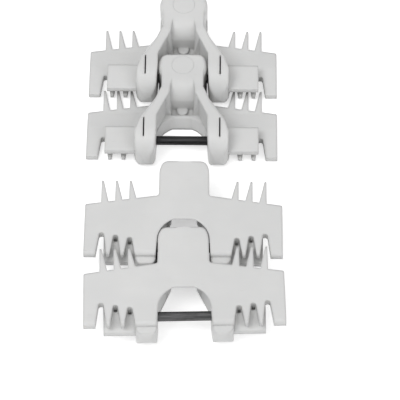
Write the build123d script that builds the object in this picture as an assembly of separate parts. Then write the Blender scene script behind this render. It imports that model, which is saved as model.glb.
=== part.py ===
from build123d import *
import math
import os

# Flexible conveyor chain: two loose sections of two links each.
# Section A (links 1 and 2) lies deck down, section B (links 3 and 4) stands deck up.
# Millimetres. X is across the chain, +Y is the way the noses point, +Z is up.
# The origin is on the table, under the middle of the whole set.
# A link is drawn with its deck's top at z = 0 and its rear pin axis over y = 0.
# A depth is a distance below the deck's top.

# The chain's pitch, pin axis to pin axis, and the deck's width and thickness
PITCH = 33.5
DECK_WIDTH = 83.0
DECK_THICKNESS = 3.4

# Deck outline
FRONT_EDGE_Y = 22.3
FRONT_SWEEP_DEG = 8.8
FRONT_THICKNESS = 2.0
FRONT_TAPER_LENGTH = 9.0
REAR_EDGE_Y = -6.9
REAR_EDGE_CHAMFER = 1.1
SIDE_CORNER_RADIUS = 0.8
NOSE_ROOT_RADIUS = 1.4

# Fingers on the front edge and the slots behind that they run into
FINGER_OUTER_X = (23.1, 29.0, 34.9)
FINGER_TIP_Y = 29.6
FINGER_ROOT_SINK = 2.0
FINGER_BASE_WIDTH = 3.7
FINGER_TIP_WIDTH = 0.9
FINGER_TIP_CHAMFER = 0.3
SLOT_X = (22.4, 28.3, 34.2)
SLOT_ROOT_Y = (1.3, 2.35, 3.4)
SLOT_ROOT_WIDTH = 2.2
SLOT_MOUTH_WIDTH = 4.6

# Nose, with its swivel axis one pitch ahead of the pin axis
NOSE_RADIUS = 10.6
NOSE_FLAT_REACH = 6.4
NOSE_CORNER_RADIUS = 3.2
NOSE_DEPTH = 16.2
NOSE_EDGE_CHAMFER = 1.1

# Pocket for the nose of the link behind
POCKET_CLEARANCE = 0.4
POCKET_FLAT_REACH = 10.2
POCKET_LEAN = 0.75
RIM_DEPTH = 4.5
RIM_THICKNESS = 1.2

# Pin, and the pivot that carries it in the nose
PIN_DIAMETER = 4.0
PIN_DEPTH = 6.1
PIN_LENGTH = 37.0
PIN_PRESS = 0.02
PIVOT_DIAMETER = 9.6
PIVOT_CROWN_DEPTH = 2.8
PIVOT_FIT = 0.06
PIVOT_PIN_FIT = 0.05
PIVOT_END_GAP = 0.2
WINDOW_GAP = 0.5

# Legs that hold the pin
LEG_RADIUS = 10.8
LEG_OUTER_X = 20.2
LEG_SHOULDER_X = 17.9
LEG_SHOULDER_Y = 6.0
LEG_LOOP_Y = -2.0
LEG_LEDGE_DEPTH = 2.3
HEEL_OUTER_RADIUS = 4.2
HEEL_INNER_RADIUS = 3.2
ARM_EDGE_CHAMFER = 1.2
SLIT_X = 16.4
SLIT_WIDTH = 0.6
SLIT_REAR_Y = -4.6
SLIT_FRONT_Y = 4.9
SLIT_CEILING_DEPTH = 3.0

# Neck and arms between the nose and the legs
SIDE_FLEX_DEG = 5.0
SWING_GAP = 0.1
NECK_Y = 21.6
NECK_HALF_WIDTH = 9.1
ARM_BEND_Y = 17.4
ARM_BEND_X = 10.7

# Hollow between the arms
SCOOP_FRONT_Y = 27.0
SCOOP_HALF_WIDTH = 4.7
STEP_Y = 18.8
NECK_STEP_LENGTH = 2.0
STEP_DEPTH = 9.5
STEP_HALF_WIDTH = 5.5
HOLLOW_FLOOR_DEPTH = 3.0
HOLLOW_FLOOR_HALF_WIDTH = 4.6
ARM_INNER_SLOPE = 0.44
TAB_WIDTH = 4.8
TAB_DEPTH = 4.1
TAB_REAR_Y = 15.1

# Block under the teeth, with the ramp on top of it
BLOCK_OUTER_X = 33.3
BLOCK_INNER_X = 13.0
BLOCK_FRONT_Y = 5.6
BLOCK_REAR_Y = -7.4
BLOCK_DEPTH = 8.6
RAMP_HEAD_Y = 0.9
RAMP_HEAD_DEPTH = 2.4
RAMP_END_DEPTH = 6.4
ROOT_HOLE_WIDTH = 1.4
ROOT_HOLE_DEPTH = 3.5

# How the two sections lie on the table
SECTION_GAP = 58.2
SECTION_B_SHIFT = 0.9
SECTION_YAW_DEG = -0.6
LINK_4_SIDE_FLEX_DEG = 1.7

# Derived sizes
HALF_WIDTH = DECK_WIDTH / 2
POCKET_RADIUS = NOSE_RADIUS + POCKET_CLEARANCE
RIM_FRONT_Y = POCKET_FLAT_REACH + POCKET_LEAN * RIM_DEPTH + RIM_THICKNESS
LINK_HEIGHT = PIN_DEPTH + LEG_RADIUS
BEYOND = 2 * PITCH


def on_both_sides(shape):
    """A shape on the +X side together with its mirror image."""
    return shape + mirror(shape, about=Plane.YZ)


def front_edge_y(x):
    """Y of the deck's front edge at a distance x from the middle."""
    return FRONT_EDGE_Y - (x - NOSE_RADIUS) * math.tan(math.radians(FRONT_SWEEP_DEG))


def face_of(*points):
    """A flat face from its corner points."""
    return make_face(Polyline(*points, close=True))


def slab(plan, top_depth, bottom_depth):
    """A plan made solid between two depths."""
    return extrude(Plane.XY.offset(-bottom_depth) * plan, bottom_depth - top_depth)


def side_slab(*points, half_width=BEYOND):
    """A side outline of (y, depth) points made solid across the middle."""
    outline = face_of(*[(y, -depth) for y, depth in points])
    return extrude(Plane.YZ * outline, half_width, both=True)


def flat_disc(radius, reach):
    """A disc cut flat in front at the given reach."""
    return Circle(radius) & Pos(0, reach - BEYOND / 2) * Rectangle(BEYOND, BEYOND)


def throat_half_width(behind_axis):
    """Half width that the nose behind needs so that it can flex to the side."""
    swing = math.radians(SIDE_FLEX_DEG)
    return NOSE_RADIUS / math.cos(swing) + behind_axis * math.tan(swing) + SWING_GAP


def arm_inner_half_width(y):
    """Half width between the arms at the underside."""
    return STEP_HALF_WIDTH + (STEP_Y - y) * ARM_INNER_SLOPE


def nose_plan():
    """Plan of the nose: a disc about the swivel axis with a flat, rounded tip."""
    disc = flat_disc(NOSE_RADIUS, NOSE_FLAT_REACH)
    corners = disc.vertices().group_by(Axis.Y)[-1]
    return Pos(0, PITCH) * fillet(corners, NOSE_CORNER_RADIUS)


def nose():
    """The nose, with its lower edge chamfered."""
    body = slab(nose_plan(), 0, NOSE_DEPTH)
    return chamfer(body.edges().group_by(Axis.Z)[0], NOSE_EDGE_CHAMFER)


def pocket_plan():
    """Plan of the pocket: flat at its apex, round, then opening to the rear."""
    mouth = throat_half_width(LEG_RADIUS)
    throat = face_of(
        (0, 0),
        (POCKET_RADIUS, 0),
        (mouth, -LEG_RADIUS),
        (0, -LEG_RADIUS),
    )
    return flat_disc(POCKET_RADIUS, POCKET_FLAT_REACH) + on_both_sides(throat)


def pocket():
    """The pocket through the link, with a front wall that leans away under the deck."""
    straight = slab(pocket_plan(), 0, LINK_HEIGHT)
    front = flat_disc(POCKET_RADIUS, POCKET_FLAT_REACH)
    slope_length = RIM_DEPTH * math.hypot(1, POCKET_LEAN)
    return straight + extrude(front, slope_length, dir=(0, POCKET_LEAN, -1))


def finger_plan(outer_x):
    """Plan of one finger: a straight outer side and a sloped inner side."""
    root_y = front_edge_y(outer_x) - FINGER_ROOT_SINK
    blade = face_of(
        (outer_x - FINGER_BASE_WIDTH, root_y),
        (outer_x, root_y),
        (outer_x, FINGER_TIP_Y),
        (outer_x - FINGER_TIP_WIDTH, FINGER_TIP_Y),
    )
    tip = blade.vertices().group_by(Axis.Y)[-1]
    return chamfer(tip, FINGER_TIP_CHAMFER)


def slot_plan(x, root_y):
    """Plan of one slot: a round root, widening to its mouth and on past the edge."""
    root_radius = SLOT_ROOT_WIDTH / 2
    centre_y = root_y - root_radius
    rear_y = REAR_EDGE_Y - SLOT_MOUTH_WIDTH
    flare = (SLOT_MOUTH_WIDTH - SLOT_ROOT_WIDTH) / 2 / (centre_y - REAR_EDGE_Y)
    mouth = root_radius + flare * (centre_y - rear_y)
    wedge = face_of(
        (x - root_radius, centre_y),
        (x + root_radius, centre_y),
        (x + mouth, rear_y),
        (x - mouth, rear_y),
    )
    return wedge + Pos(x, centre_y) * Circle(root_radius)


def deck_plan():
    """Plan of the deck: two swept wings, and the nose's straight sides."""
    half = face_of(
        (0, REAR_EDGE_Y),
        (HALF_WIDTH, REAR_EDGE_Y),
        (HALF_WIDTH, front_edge_y(HALF_WIDTH)),
        (NOSE_RADIUS, FRONT_EDGE_Y),
        (NOSE_RADIUS, PITCH),
        (0, PITCH),
    )
    corner = half.vertices().group_by(Axis.X)[-1].sort_by(Axis.Y)[-1]
    half = fillet(corner, SIDE_CORNER_RADIUS)
    root = half.vertices().sort_by_distance((NOSE_RADIUS, FRONT_EDGE_Y))[0]
    return on_both_sides(fillet(root, NOSE_ROOT_RADIUS))


def front_thinning():
    """What is cut from below so that the wings and fingers thin towards the front."""
    thin_y = front_edge_y(HALF_WIDTH)
    return side_slab(
        (thin_y - FRONT_TAPER_LENGTH, DECK_THICKNESS),
        (thin_y, FRONT_THICKNESS),
        (PITCH, FRONT_THICKNESS),
        (PITCH, DECK_THICKNESS),
    )


def deck():
    """The deck with its fingers and a chamfered rear edge, before the slots are cut."""
    plate = slab(deck_plan(), 0, DECK_THICKNESS)
    rear_top = plate.edges().filter_by(Axis.X).group_by(Axis.Y)[0].group_by(Axis.Z)[-1]
    plate = chamfer(rear_top, REAR_EDGE_CHAMFER)
    row = slab(Sketch() + [finger_plan(x) for x in FINGER_OUTER_X], 0, DECK_THICKNESS)
    return plate + on_both_sides(row) - front_thinning()


def frame_plan():
    """Plan of the neck, arms and legs."""
    half = face_of(
        (0, PITCH),
        (NECK_HALF_WIDTH, PITCH),
        (NECK_HALF_WIDTH, NECK_Y),
        (ARM_BEND_X, ARM_BEND_Y),
        (LEG_SHOULDER_X, LEG_SHOULDER_Y),
        (LEG_OUTER_X, LEG_LOOP_Y),
        (LEG_OUTER_X, -LEG_RADIUS),
        (throat_half_width(LEG_RADIUS), -LEG_RADIUS),
        (POCKET_RADIUS, 0),
        (0, 0),
    )
    heel_outer = half.vertices().group_by(Axis.Y)[0].sort_by(Axis.X)[-1]
    half = fillet(heel_outer, HEEL_OUTER_RADIUS)
    heel_inner = half.vertices().group_by(Axis.Y)[0].sort_by(Axis.X)[0]
    half = fillet(heel_inner, HEEL_INNER_RADIUS)
    return on_both_sides(half)


def frame_side():
    """Side outline of the legs, arms and neck."""
    heel = Pos(0, -PIN_DEPTH) * Circle(LEG_RADIUS)
    under_ledge = Pos(0, -LEG_LEDGE_DEPTH - BEYOND / 2) * Rectangle(BEYOND, BEYOND)
    run = face_of(
        (0, -LEG_LEDGE_DEPTH),
        (NECK_Y, 0),
        (PITCH, 0),
        (PITCH, -NOSE_DEPTH),
        (NECK_Y + NECK_STEP_LENGTH, -NOSE_DEPTH),
        (NECK_Y - NECK_STEP_LENGTH, -LINK_HEIGHT),
        (0, -LINK_HEIGHT),
    )
    return (heel & under_ledge) + run


def side_frame():
    """Nose, neck, arms and legs under the deck, moulded in one."""
    height = slab(frame_plan(), 0, LINK_HEIGHT)
    frame = height & extrude(Plane.YZ * frame_side(), BEYOND, both=True)
    return chamfer(arm_edges(frame), ARM_EDGE_CHAMFER) + nose()


def arm_edges(frame):
    """The lower outer edges of the two arms, from the neck's bend to the leg's shoulder."""
    lower = frame.edges().filter_by(GeomType.LINE).group_by(Axis.Z)[0]
    return lower.filter_by(lambda edge: ARM_BEND_X < abs(edge.center().X) < LEG_SHOULDER_X)


def hollow():
    """The hollow between the arms: leaning sides, a flat floor and a tab."""
    rear = arm_inner_half_width(RIM_FRONT_Y)
    floor = face_of(
        (-HOLLOW_FLOOR_HALF_WIDTH, STEP_Y),
        (HOLLOW_FLOOR_HALF_WIDTH, STEP_Y),
        (HOLLOW_FLOOR_HALF_WIDTH, RIM_FRONT_Y),
        (-HOLLOW_FLOOR_HALF_WIDTH, RIM_FRONT_Y),
    )
    mouth = face_of(
        (-STEP_HALF_WIDTH, STEP_Y),
        (STEP_HALF_WIDTH, STEP_Y),
        (rear, RIM_FRONT_Y),
        (-rear, RIM_FRONT_Y),
    )
    levels = [Pos(0, 0, -HOLLOW_FLOOR_DEPTH) * floor, Pos(0, 0, -LINK_HEIGHT) * mouth]
    return loft(levels, ruled=True) - tab()


def tab():
    """The round-ended tab that stands on the hollow's floor below the step."""
    length = STEP_Y - TAB_REAR_Y + TAB_WIDTH
    plan = Pos(0, TAB_REAR_Y + length / 2) * SlotOverall(length, TAB_WIDTH, rotation=90)
    return slab(plan, 0, TAB_DEPTH)


def passage():
    """The way from the hollow to the pocket, under the pocket's rim."""
    front = arm_inner_half_width(RIM_FRONT_Y)
    plan = face_of(
        (-front, RIM_FRONT_Y),
        (front, RIM_FRONT_Y),
        (arm_inner_half_width(0), 0),
        (-arm_inner_half_width(0), 0),
    )
    pocket_width = Rectangle(2 * POCKET_RADIUS, BEYOND)
    return slab(plan & pocket_width, RIM_DEPTH, LINK_HEIGHT)


def scoop():
    """The rounded way down from the nose's underside to the step of the hollow."""
    curve = TangentArc((SCOOP_FRONT_Y, -NOSE_DEPTH), (STEP_Y, -STEP_DEPTH), tangent=(-1, 0))
    rim = Polyline(
        (STEP_Y, -STEP_DEPTH),
        (STEP_Y, -LINK_HEIGHT),
        (SCOOP_FRONT_Y, -LINK_HEIGHT),
        (SCOOP_FRONT_Y, -NOSE_DEPTH),
    )
    plan = face_of(
        (-SCOOP_HALF_WIDTH, SCOOP_FRONT_Y),
        (SCOOP_HALF_WIDTH, SCOOP_FRONT_Y),
        (STEP_HALF_WIDTH, STEP_Y),
        (-STEP_HALF_WIDTH, STEP_Y),
    )
    profile = extrude(Plane.YZ * make_face(curve + rim), BEYOND, both=True)
    return profile & slab(plan, 0, LINK_HEIGHT)


def tooth_block():
    """The block under the teeth, with a ramp that drops towards the rear."""
    profile = side_slab(
        (BLOCK_FRONT_Y, RAMP_HEAD_DEPTH),
        (BLOCK_FRONT_Y, BLOCK_DEPTH),
        (BLOCK_REAR_Y, BLOCK_DEPTH),
        (BLOCK_REAR_Y, RAMP_END_DEPTH),
        (RAMP_HEAD_Y, RAMP_HEAD_DEPTH),
        half_width=BLOCK_OUTER_X,
    )
    return profile - slab(Rectangle(2 * BLOCK_INNER_X, BEYOND), 0, BLOCK_DEPTH)


def slots():
    """The six rear slots through the deck, down to the ramp."""
    plans = [slot_plan(x, y) for x, y in zip(SLOT_X, SLOT_ROOT_Y)]
    return on_both_sides(slab(Sketch() + plans, 0, DECK_THICKNESS)) - tooth_block()


def root_holes():
    """Small blind holes at the roots of the two inner slots."""
    holes = Part()
    for x, root_y in zip(SLOT_X[:2], SLOT_ROOT_Y[:2]):
        plan = Pos(x, root_y - SLOT_ROOT_WIDTH / 2) * Rectangle(ROOT_HOLE_WIDTH, ROOT_HOLE_WIDTH)
        holes += slab(plan, 0, RAMP_HEAD_DEPTH + ROOT_HOLE_DEPTH)
    return on_both_sides(holes)


def pin_cylinder(diameter, length):
    """A cylinder along X on the pin axis."""
    return Pos(0, 0, -PIN_DEPTH) * Rot(0, 90, 0) * Cylinder(diameter / 2, length)


def pin_window():
    """The opening across the nose in which the pin swings."""
    reach = PIN_DIAMETER / 2 + WINDOW_GAP
    swung = reach + POCKET_RADIUS * math.tan(math.radians(SIDE_FLEX_DEG))
    half = face_of((0, reach), (POCKET_RADIUS, swung), (POCKET_RADIUS, -swung), (0, -reach))
    return Pos(0, PITCH, 0) * slab(on_both_sides(half), PIN_DEPTH - reach, PIN_DEPTH + reach)


def leg_slit():
    """The narrow slit between the inner and outer wall of a leg."""
    middle_y = (SLIT_FRONT_Y + SLIT_REAR_Y) / 2
    plan = Pos(SLIT_X, middle_y) * Rectangle(SLIT_WIDTH, SLIT_FRONT_Y - SLIT_REAR_Y)
    return on_both_sides(slab(plan, SLIT_CEILING_DEPTH, LINK_HEIGHT))


def link_body():
    """One moulded link."""
    body = deck() + side_frame() + tooth_block()
    body -= pocket()
    body -= hollow() + passage() + scoop()
    body -= slots()
    body -= root_holes()
    body -= leg_slit()
    body -= pin_cylinder(PIN_DIAMETER - 2 * PIN_PRESS, 2 * LEG_OUTER_X)
    pivot_bore = Circle(PIVOT_DIAMETER / 2 + PIVOT_FIT)
    body -= slab(Pos(0, PITCH) * pivot_bore, PIVOT_CROWN_DEPTH, NOSE_DEPTH)
    body -= pin_window()
    return body


def pin():
    """A steel pin on the pin axis."""
    return pin_cylinder(PIN_DIAMETER, PIN_LENGTH)


def pivot():
    """The pivot that turns in the nose, with its cross bore on the pin axis."""
    body = slab(Circle(PIVOT_DIAMETER / 2), PIVOT_CROWN_DEPTH + PIVOT_END_GAP, NOSE_DEPTH)
    return body - pin_cylinder(PIN_DIAMETER + 2 * PIVOT_PIN_FIT, PIVOT_DIAMETER)


def section_frames():
    """Where each link lies: link 1 to 4, as locations of their pin axes on the deck's top."""
    heading = Rot(0, 0, SECTION_YAW_DEG)
    link_2 = heading * Rot(0, 180, 0)
    link_1 = link_2 * Pos(0, PITCH, 0)
    link_3 = Pos(SECTION_B_SHIFT, -SECTION_GAP, LINK_HEIGHT) * heading
    link_4 = link_3 * Rot(0, 0, LINK_4_SIDE_FLEX_DEG) * Pos(0, -PITCH, 0)
    return link_1, link_2, link_3, link_4


def pivot_frames(frames):
    """Where each pivot lies: on the pin of the link ahead, or at home in a free nose."""
    link_1, link_2, link_3, link_4 = frames
    free = Pos(0, PITCH, 0)
    return link_1 * free, link_1, link_3 * free, link_3


def assemble():
    """All nodes of the set, by name, before they are centred."""
    link, steel, turn = link_body(), pin(), pivot()
    frames = section_frames()
    nodes = {}
    for number, frame in enumerate(frames, start=1):
        nodes[f"link_{number}"] = frame * link
        nodes[f"pin_{number}"] = frame * steel
    for number, frame in enumerate(pivot_frames(frames), start=1):
        nodes[f"pivot_{number}"] = frame * turn
    return nodes


def table_centre(nodes):
    """The point on the table under the middle of the whole set."""
    boxes = [shape.bounding_box() for shape in nodes.values()]
    middle_x = (min(b.min.X for b in boxes) + max(b.max.X for b in boxes)) / 2
    middle_y = (min(b.min.Y for b in boxes) + max(b.max.Y for b in boxes)) / 2
    return middle_x, middle_y, min(b.min.Z for b in boxes)


def main():
    """Write one STEP file for each node."""
    os.makedirs("parts", exist_ok=True)
    nodes = assemble()
    x, y, z = table_centre(nodes)
    home = Pos(-x, -y, -z)
    for name, shape in nodes.items():
        export_step(home * shape, f"parts/{name}.step")


main()
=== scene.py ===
import logging
import math
from dataclasses import dataclass, field
from enum import Enum

import bmesh
import bpy
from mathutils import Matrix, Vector


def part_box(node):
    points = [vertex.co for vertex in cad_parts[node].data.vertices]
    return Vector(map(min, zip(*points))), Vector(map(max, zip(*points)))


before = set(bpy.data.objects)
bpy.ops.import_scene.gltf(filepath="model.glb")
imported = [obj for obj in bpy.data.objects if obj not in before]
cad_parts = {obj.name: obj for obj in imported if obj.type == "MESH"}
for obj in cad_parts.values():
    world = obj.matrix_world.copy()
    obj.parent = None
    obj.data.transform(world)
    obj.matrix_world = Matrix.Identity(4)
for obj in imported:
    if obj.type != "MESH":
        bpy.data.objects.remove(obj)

LOG = logging.getLogger("conveyor_chain")
MM = 0.001
PHOTO_SIDE_PX = 400
WHITE = (1.0, 1.0, 1.0, 1.0)
MIX_COLOUR_INPUTS = (6, 7)
MIX_COLOUR_OUTPUT = 2
MIX_VECTOR_INPUTS = (4, 5)
MIX_VECTOR_OUTPUT = 1
PIVOT_NUMBERS = (1, 2, 3, 4)
PIVOT_EDGE_RADIUS = 0.0001

Colour = tuple[float, float, float]
Place = tuple[float, float]
Socket = bpy.types.NodeSocket


class Resin(Enum):
    """Which moulded piece an acetal finish is for."""

    LINK = "link_acetal"
    PIVOT = "pivot_acetal"


class Steel(Enum):
    """Which bar a steel finish is for."""

    PIN = "pin_steel"
    # painted shade: a darker copy of the same pin steel
    SHADED_PIN = "shaded_pin_steel"


@dataclass(frozen=True)
class Noise:
    """A noise texture: waves per metre, number of finer layers and their strength."""

    scale: float
    detail: float = 3.0
    roughness: float = 0.55


@dataclass(frozen=True)
class Span:
    """A change of range: from start and end to low and high."""

    low: float
    high: float
    start: float = 0.3
    end: float = 0.7


@dataclass(frozen=True)
class Relief:
    """A bump: how much of it shows, and its depth in metres."""

    strength: float
    depth: float


class NodeBench:
    """A material's node tree, with short ways to add and join its nodes."""

    def __init__(self, name: str) -> None:
        """Starts an empty node material.

        Args:
            name: The material's name.
        """
        self.material: bpy.types.Material = bpy.data.materials.new(name)
        self.material.use_nodes = True
        self.tree: bpy.types.NodeTree = self.material.node_tree
        self.tree.nodes.clear()

    def add(self, kind: str, **settings: object) -> bpy.types.Node:
        """Adds a node and sets its properties.

        Args:
            kind: The node's type name.
            **settings: Property values of the node.

        Returns:
            The new node.
        """
        node = self.tree.nodes.new(kind)
        for key, value in settings.items():
            setattr(node, key, value)
        return node

    def join(self, source: Socket, target: Socket) -> None:
        """Joins an output socket to an input socket."""
        self.tree.links.new(source, target)

    def object_coords(self) -> Socket:
        """Adds the object's own coordinates."""
        return self.add("ShaderNodeTexCoord").outputs["Object"]

    def scaled(self, coords: Socket, factors: Colour) -> Socket:
        """Scales coordinates along each axis.

        Args:
            coords: The coordinates that it reads.
            factors: The factor along x, y and z.

        Returns:
            The scaled coordinates' socket.
        """
        node = self.add("ShaderNodeMapping")
        node.inputs["Scale"].default_value = factors
        self.join(coords, node.inputs["Vector"])
        return node.outputs["Vector"]

    def noise(self, coords: Socket, noise: Noise) -> Socket:
        """Adds a noise texture.

        Args:
            coords: The coordinates that it reads.
            noise: The noise's scale and layers.

        Returns:
            The noise's value socket.
        """
        node = self.add("ShaderNodeTexNoise")
        node.inputs["Scale"].default_value = noise.scale
        node.inputs["Detail"].default_value = noise.detail
        node.inputs["Roughness"].default_value = noise.roughness
        self.join(coords, node.inputs["Vector"])
        return node.outputs["Fac"]

    def spread(self, value: Socket, span: Span) -> Socket:
        """Maps a value from one range to another.

        Args:
            value: The value to map.
            span: Both ranges.

        Returns:
            The mapped value socket.
        """
        node = self.add("ShaderNodeMapRange")
        self.join(value, node.inputs["Value"])
        node.inputs["From Min"].default_value = span.start
        node.inputs["From Max"].default_value = span.end
        node.inputs["To Min"].default_value = span.low
        node.inputs["To Max"].default_value = span.high
        return node.outputs["Result"]

    def blend(self, factor: Socket, first: Colour | Socket, second: Colour | Socket) -> Socket:
        """Mixes two colours.

        Args:
            factor: The share of the second colour.
            first: A colour, or the socket of one.
            second: A colour, or the socket of one.

        Returns:
            The mixed colour socket.
        """
        node = self.add("ShaderNodeMix", data_type="RGBA")
        self.join(factor, node.inputs["Factor"])
        for key, value in zip(MIX_COLOUR_INPUTS, (first, second)):
            if isinstance(value, bpy.types.NodeSocket):
                self.join(value, node.inputs[key])
            else:
                node.inputs[key].default_value = (*value, 1.0)
        return node.outputs[MIX_COLOUR_OUTPUT]

    def rounded_edges(self, radius: float, samples: int = 8) -> Socket:
        """Adds a normal that turns softly over the edges, as on a moulded piece.

        Args:
            radius: The rounding's radius in metres.
            samples: How many rays find the edges.

        Returns:
            The rounded normal socket.
        """
        node = self.add("ShaderNodeBevel", samples=samples)
        node.inputs["Radius"].default_value = radius
        return node.outputs["Normal"]

    def near_uprights(self, coords: Socket, places: tuple[Place, ...], radius: float,
                      softness: float = 1.04) -> Socket:
        """Adds a value that is 1 within a distance of any of several upright axes.

        Args:
            coords: The coordinates that it reads.
            places: Where each axis stands, as x and y in metres.
            radius: The distance in metres.
            softness: How many radii away the value has fallen to 0.

        Returns:
            The value's socket.
        """
        level = self.add("ShaderNodeVectorMath", operation="MULTIPLY")
        level.inputs[1].default_value = (1.0, 1.0, 0.0)
        self.join(coords, level.inputs[0])
        nearest = None
        for x, y in places:
            gap = self.add("ShaderNodeVectorMath", operation="DISTANCE")
            gap.inputs[1].default_value = (x, y, 0.0)
            self.join(level.outputs["Vector"], gap.inputs[0])
            if nearest is None:
                nearest = gap.outputs["Value"]
                continue
            least = self.add("ShaderNodeMath", operation="MINIMUM")
            self.join(nearest, least.inputs[0])
            self.join(gap.outputs["Value"], least.inputs[1])
            nearest = least.outputs["Value"]
        return self.spread(nearest, Span(1.0, 0.0, radius, radius * softness))

    def choose_normal(self, factor: Socket, first: Socket, second: Socket) -> Socket:
        """Mixes two normals.

        Args:
            factor: The share of the second normal.
            first: The normal where the factor is 0.
            second: The normal where the factor is 1.

        Returns:
            The mixed normal socket.
        """
        node = self.add("ShaderNodeMix", data_type="VECTOR")
        self.join(factor, node.inputs["Factor"])
        for key, normal in zip(MIX_VECTOR_INPUTS, (first, second)):
            self.join(normal, node.inputs[key])
        return node.outputs[MIX_VECTOR_OUTPUT]

    def openness(self, reach: float, samples: int = 6) -> Socket:
        """Adds a value that is 1 on open faces and falls in deep corners, where painted shade
        goes.

        Args:
            reach: How far away a wall still counts, in metres.
            samples: How many rays look for walls.

        Returns:
            The value's socket.
        """
        node = self.add("ShaderNodeAmbientOcclusion", samples=samples)
        node.inputs["Distance"].default_value = reach
        return node.outputs["AO"]

    def bump(self, height: Socket, relief: Relief, normal: Socket | None = None) -> Socket:
        """Adds a bump.

        Args:
            height: The height that it reads.
            relief: The bump's strength and depth.
            normal: The normal under the bump.

        Returns:
            The bumped normal socket.
        """
        node = self.add("ShaderNodeBump")
        node.inputs["Strength"].default_value = relief.strength
        node.inputs["Distance"].default_value = relief.depth
        self.join(height, node.inputs["Height"])
        if normal is not None:
            self.join(normal, node.inputs["Normal"])
        return node.outputs["Normal"]


@dataclass(frozen=True)
class AcetalFinish:
    """Natural white moulded acetal: satin, slightly milky, with faint flow marks and fine grain.

    Its edges look rounded, except round the bores of the pivots, and its deep corners are
    darkened with painted shade.
    """

    resin: Resin
    bores: tuple[Place, ...] = ()
    bore_reach: float = 0.0066
    edge_radius: float = 0.0017
    pale: Colour = (0.725, 0.725, 0.72)
    grey: Colour = (0.665, 0.667, 0.663)
    rub: Colour = (0.57, 0.57, 0.565)
    # painted shade: the colour that deep corners darken towards
    corner_shade_colour: Colour = (0.48, 0.48, 0.472)
    shade_reach: float = 0.008
    shade_share: Span = Span(1.0, 0.0, 0.02, 0.72)
    stretch: Colour = (0.35, 1.0, 1.0)
    clouds: Noise = Noise(34.0)
    cloud_share: Span = Span(0.0, 1.0)
    flow: Noise = Noise(150.0, 4.0)
    flow_share: Span = Span(0.0, 0.35)
    rubs: Noise = Noise(620.0, 6.0, 0.7)
    rub_share: Span = Span(0.0, 0.3, 0.6, 0.78)
    gloss: Noise = Noise(150.0, 5.0)
    roughness: Span = Span(0.36, 0.52)
    sinks: Noise = Noise(120.0, 1.0)
    sink_relief: Relief = Relief(0.35, 0.00012)
    grain: Noise = Noise(5200.0, 2.0)
    grain_relief: Relief = Relief(0.4, 0.00002)
    specular: float = 0.42
    milkiness: float = 0.12
    milk_radius: Colour = (1.0, 0.95, 0.85)
    milk_depth: float = 0.0012

    def make(self) -> bpy.types.Material:
        """Builds the material.

        Returns:
            The finished material.
        """
        bench = NodeBench(self.resin.value)
        coords = bench.object_coords()
        shader = bench.add("ShaderNodeBsdfPrincipled")
        output = bench.add("ShaderNodeOutputMaterial")
        bench.join(self.colour(bench, coords), shader.inputs["Base Color"])
        gloss = bench.spread(bench.noise(coords, self.gloss), self.roughness)
        bench.join(gloss, shader.inputs["Roughness"])
        bench.join(self.surface(bench, coords), shader.inputs["Normal"])
        shader.inputs["Specular IOR Level"].default_value = self.specular
        shader.inputs["Subsurface Weight"].default_value = self.milkiness
        shader.inputs["Subsurface Radius"].default_value = self.milk_radius
        shader.inputs["Subsurface Scale"].default_value = self.milk_depth
        bench.join(shader.outputs["BSDF"], output.inputs["Surface"])
        return bench.material

    def colour(self, bench: NodeBench, coords: Socket) -> Socket:
        """Builds the resin's colour: clouds, flow marks, rubbed spots and painted shade in deep
        corners.

        Args:
            bench: The material's bench.
            coords: The object's coordinates.

        Returns:
            The colour's socket.
        """
        along = bench.scaled(coords, self.stretch)
        clouds = bench.spread(bench.noise(coords, self.clouds), self.cloud_share)
        flow = bench.spread(bench.noise(along, self.flow), self.flow_share)
        rubs = bench.spread(bench.noise(along, self.rubs), self.rub_share)
        body = bench.blend(clouds, self.pale, self.grey)
        body = bench.blend(flow, body, self.grey)
        body = bench.blend(rubs, body, self.rub)
        # painted shade: the colour darkens towards the corner shade colour where ambient
        # occlusion finds walls close by
        depth = bench.spread(bench.openness(self.shade_reach), self.shade_share)
        return bench.blend(depth, body, self.corner_shade_colour)

    def surface(self, bench: NodeBench, coords: Socket) -> Socket:
        """Builds the resin's normal: soft edges, shallow sink marks and fine grain.

        Args:
            bench: The material's bench.
            coords: The object's coordinates.

        Returns:
            The normal's socket.
        """
        edges = bench.rounded_edges(self.edge_radius)
        if self.bores:
            sharp = bench.add("ShaderNodeNewGeometry").outputs["Normal"]
            by_bore = bench.near_uprights(coords, self.bores, self.bore_reach)
            edges = bench.choose_normal(by_bore, edges, sharp)
        sinks = bench.bump(bench.noise(coords, self.sinks), self.sink_relief, edges)
        return bench.bump(bench.noise(coords, self.grain), self.grain_relief, sinks)


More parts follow.
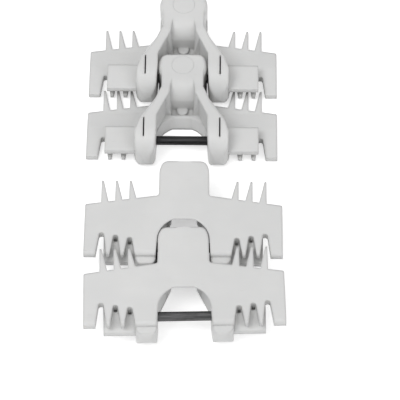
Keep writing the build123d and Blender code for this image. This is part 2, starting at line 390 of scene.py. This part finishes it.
@dataclass(frozen=True)
class DrawnSteelFinish:
    """Drawn steel bar: grey, with fine streaks along its length and faint stains."""

    steel: Steel
    bright: Colour = (0.15, 0.15, 0.152)
    dull: Colour = (0.035, 0.035, 0.036)
    stretch: Colour = (0.03, 1.0, 1.0)
    streaks: Noise = Noise(2600.0, 3.0)
    streak_share: Span = Span(0.0, 1.0)
    streak_relief: Relief = Relief(0.35, 0.00002)
    stains: Noise = Noise(260.0, 4.0, 0.65)
    stain_share: Span = Span(0.0, 0.5, 0.5, 0.75)
    roughness: Span = Span(0.26, 0.42)

    def make(self) -> bpy.types.Material:
        """Builds the material.

        Returns:
            The finished material.
        """
        bench = NodeBench(self.steel.value)
        coords = bench.object_coords()
        shader = bench.add("ShaderNodeBsdfPrincipled")
        output = bench.add("ShaderNodeOutputMaterial")
        streaks = bench.noise(bench.scaled(coords, self.stretch), self.streaks)
        stains = bench.noise(coords, self.stains)
        colour = bench.blend(bench.spread(streaks, self.streak_share), self.bright, self.dull)
        colour = bench.blend(bench.spread(stains, self.stain_share), colour, self.dull)
        bench.join(colour, shader.inputs["Base Color"])
        bench.join(bench.spread(stains, self.roughness), shader.inputs["Roughness"])
        bench.join(bench.bump(streaks, self.streak_relief), shader.inputs["Normal"])
        shader.inputs["Metallic"].default_value = 1.0
        bench.join(shader.outputs["BSDF"], output.inputs["Surface"])
        return bench.material


@dataclass
class CadPiece:
    """One CAD node, with the finish that it gets."""

    node: str
    finish: bpy.types.Material

    def dress(self) -> None:
        """Gives the node's surface its finish."""
        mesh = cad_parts[self.node].data
        mesh.materials.clear()
        mesh.materials.append(self.finish)
        LOG.info("%s: %s", self.node, self.finish.name)


@dataclass
class ChainSection:
    """A section of two links, with their pins and pivots."""

    name: str
    numbers: tuple[int, int]
    acetal: bpy.types.Material
    pivot_acetal: bpy.types.Material
    steel: bpy.types.Material

    def dress(self) -> None:
        """Finishes every piece of the section."""
        for number in self.numbers:
            CadPiece(f"link_{number}", self.acetal).dress()
            CadPiece(f"pivot_{number}", self.pivot_acetal).dress()
            CadPiece(f"pin_{number}", self.steel).dress()
        LOG.info("%s is finished", self.name)


@dataclass(frozen=True)
class PhotoCamera:
    """The camera at the photograph's viewing angle."""

    place_mm: tuple[float, float, float] = (7.1, -593.3, 868.0)
    tilt_deg: float = 33.8
    focal_px: float = 2430.0
    sensor_mm: float = 36.0
    clip_near: float = 0.05
    clip_far: float = 20.0

    def make(self) -> bpy.types.Object:
        """Creates the camera and makes it the scene's own.

        Returns:
            The camera object.
        """
        data = bpy.data.cameras.new("photo_camera")
        data.sensor_width = self.sensor_mm
        data.lens = self.sensor_mm * self.focal_px / PHOTO_SIDE_PX
        data.clip_start = self.clip_near
        data.clip_end = self.clip_far
        camera = bpy.data.objects.new("photo_camera", data)
        camera.location = Vector(self.place_mm) * MM
        camera.rotation_euler = (math.radians(self.tilt_deg), 0.0, 0.0)
        bpy.context.scene.collection.objects.link(camera)
        bpy.context.scene.camera = camera
        return camera


@dataclass(frozen=True)
class Lamp:
    """A square studio lamp aimed at the middle of the set."""

    name: str
    place: tuple[float, float, float]
    side: float
    watts: float

    def make(self) -> bpy.types.Object:
        """Creates the lamp.

        Returns:
            The lamp object.
        """
        data = bpy.data.lights.new(self.name, "AREA")
        data.shape = "SQUARE"
        data.size = self.side
        data.energy = self.watts
        lamp = bpy.data.objects.new(self.name, data)
        lamp.location = self.place
        lamp.rotation_euler = (-Vector(self.place)).to_track_quat("-Z", "Y").to_euler()
        bpy.context.scene.collection.objects.link(lamp)
        return lamp


@dataclass(frozen=True)
class Studio:
    """A pale floor, a soft white sky and soft lamps."""

    sky_level: float = 0.54
    floor_side: float = 6.0
    floor_albedo: float = 0.86
    floor_lift: float = 0.50
    lamps: tuple[Lamp, ...] = field(default=(
        Lamp("key_lamp", (-0.7, -0.5, 1.6), 0.9, 12.0),
        Lamp("fill_lamp", (0.9, -0.9, 1.3), 1.0, 6.0),
    ))

    def make(self) -> None:
        """Creates the sky, the floor and the lamps, and shows colours as they are written."""
        bpy.context.scene.view_settings.view_transform = "Standard"
        self.sky()
        self.floor()
        for lamp in self.lamps:
            lamp.make()

    def shows_white(self, tree: bpy.types.NodeTree) -> Socket:
        """Adds a factor that is 1 where a ray should see a white background.

        Args:
            tree: The node tree that it is added to.

        Returns:
            The factor's socket.
        """
        path = tree.nodes.new("ShaderNodeLightPath")
        total = path.outputs["Is Camera Ray"]
        for name in ("Is Glossy Ray", "Is Transmission Ray"):
            either = tree.nodes.new("ShaderNodeMath")
            either.operation = "MAXIMUM"
            tree.links.new(total, either.inputs[0])
            tree.links.new(path.outputs[name], either.inputs[1])
            total = either.outputs["Value"]
        return total

    def sky(self) -> None:
        """Makes the world white to look at and soft to light with."""
        world = bpy.data.worlds.new("studio_sky")
        world.use_nodes = True
        tree = world.node_tree
        tree.nodes.clear()
        mix = tree.nodes.new("ShaderNodeMixShader")
        for key, strength in ((1, self.sky_level), (2, 1.0)):
            background = tree.nodes.new("ShaderNodeBackground")
            background.inputs["Color"].default_value = WHITE
            background.inputs["Strength"].default_value = strength
            tree.links.new(background.outputs["Background"], mix.inputs[key])
        output = tree.nodes.new("ShaderNodeOutputWorld")
        tree.links.new(self.shows_white(tree), mix.inputs["Fac"])
        tree.links.new(mix.outputs["Shader"], output.inputs["Surface"])
        bpy.context.scene.world = world

    def floor_finish(self) -> bpy.types.Material:
        """Builds the floor's material: matt and pale, and lifted to white where it is looked at.

        Returns:
            The finished material.
        """
        bench = NodeBench("studio_floor")
        matt = bench.add("ShaderNodeBsdfDiffuse")
        matt.inputs["Color"].default_value = (self.floor_albedo,) * 3 + (1.0,)
        glow = bench.add("ShaderNodeEmission")
        glow.inputs["Color"].default_value = WHITE
        total = bench.add("ShaderNodeAddShader")
        output = bench.add("ShaderNodeOutputMaterial")
        lift = bench.add("ShaderNodeMath", operation="MULTIPLY")
        lift.inputs[1].default_value = self.floor_lift
        bench.join(self.shows_white(bench.tree), lift.inputs[0])
        bench.join(lift.outputs["Value"], glow.inputs["Strength"])
        bench.join(matt.outputs["BSDF"], total.inputs[0])
        bench.join(glow.outputs["Emission"], total.inputs[1])
        bench.join(total.outputs["Shader"], output.inputs["Surface"])
        return bench.material

    def floor(self) -> bpy.types.Object:
        """Makes the floor, white to look at, with the set's soft shadow on it.

        Returns:
            The floor object.
        """
        sheet = bmesh.new()
        bmesh.ops.create_grid(sheet, x_segments=1, y_segments=1, size=self.floor_side / 2)
        mesh = bpy.data.meshes.new("studio_floor")
        sheet.to_mesh(mesh)
        sheet.free()
        mesh.materials.append(self.floor_finish())
        floor = bpy.data.objects.new("studio_floor", mesh)
        bpy.context.scene.collection.objects.link(floor)
        return floor


def pivot_places(numbers: tuple[int, ...]) -> tuple[Place, ...]:
    """Finds where each pivot stands.

    Args:
        numbers: The pivots' numbers.

    Returns:
        The middle of each pivot, as x and y in metres.
    """
    boxes = [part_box(f"pivot_{number}") for number in numbers]
    return tuple(((low[0] + high[0]) / 2, (low[1] + high[1]) / 2) for low, high in boxes)


def main() -> None:
    """Builds the scene in order: camera, studio, finishes, then the two sections."""
    logging.basicConfig(level=logging.INFO, format="%(name)s: %(message)s")
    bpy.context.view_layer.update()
    PhotoCamera().make()
    Studio().make()
    link_acetal = AcetalFinish(Resin.LINK, bores=pivot_places(PIVOT_NUMBERS)).make()
    pivot_acetal = AcetalFinish(Resin.PIVOT, edge_radius=PIVOT_EDGE_RADIUS).make()
    # painted shade: section A's pins get a darker copy of the same steel, for the shade they sit
    # in
    shaded_steel = DrawnSteelFinish(Steel.SHADED_PIN, bright=(0.055, 0.055, 0.056),
                                   dull=(0.02, 0.02, 0.0205)).make()
    clean_steel = DrawnSteelFinish(Steel.PIN).make()
    ChainSection("section A", (1, 2), link_acetal, pivot_acetal, shaded_steel).dress()
    ChainSection("section B", (3, 4), link_acetal, pivot_acetal, clean_steel).dress()


if __name__ == "__main__":
    main()
